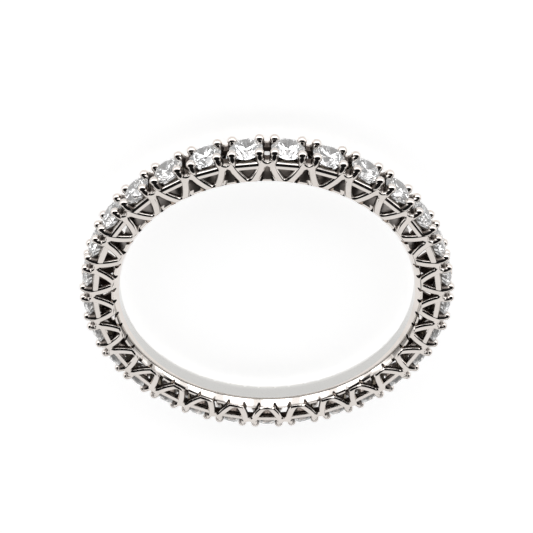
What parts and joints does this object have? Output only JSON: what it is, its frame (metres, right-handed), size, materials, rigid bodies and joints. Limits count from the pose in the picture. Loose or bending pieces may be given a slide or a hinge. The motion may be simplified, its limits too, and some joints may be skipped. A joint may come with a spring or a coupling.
{
  "type": "full eternity ring",
  "caption": "Slim full eternity ring: round brilliants all the way round in shared beaded prongs, over a pierced gallery of V-shaped arms on a rounded inner rail.",
  "frame": {"origin": "on the axis of the finger hole, in the plane that the ring rests on when it lies on its side", "axes": "+Z along the axis of the finger hole, up from the resting plane; +Y from the axis through the middle of stone_01; +X completes the right-handed frame"},
  "size_m": [0.0218, 0.0218, 0.002],
  "materials": {
    "metal": "mirror-polished white gold, rhodium plated",
    "stone": "clear colourless stone, round brilliant cut, polished facets"
  },
  "bodies": {
    "root": {"setting": "metal", "stone_01": "stone", "stone_02": "stone", "stone_03": "stone", "stone_04": "stone", "stone_05": "stone", "stone_06": "stone", "stone_07": "stone", "stone_08": "stone", "stone_09": "stone", "stone_10": "stone", "stone_11": "stone", "stone_12": "stone", "stone_13": "stone", "stone_14": "stone", "stone_15": "stone", "stone_16": "stone", "stone_17": "stone", "stone_18": "stone", "stone_19": "stone", "stone_20": "stone", "stone_21": "stone", "stone_22": "stone", "stone_23": "stone", "stone_24": "stone", "stone_25": "stone", "stone_26": "stone", "stone_27": "stone", "stone_28": "stone", "stone_29": "stone"}
  },
  "joints": []
}
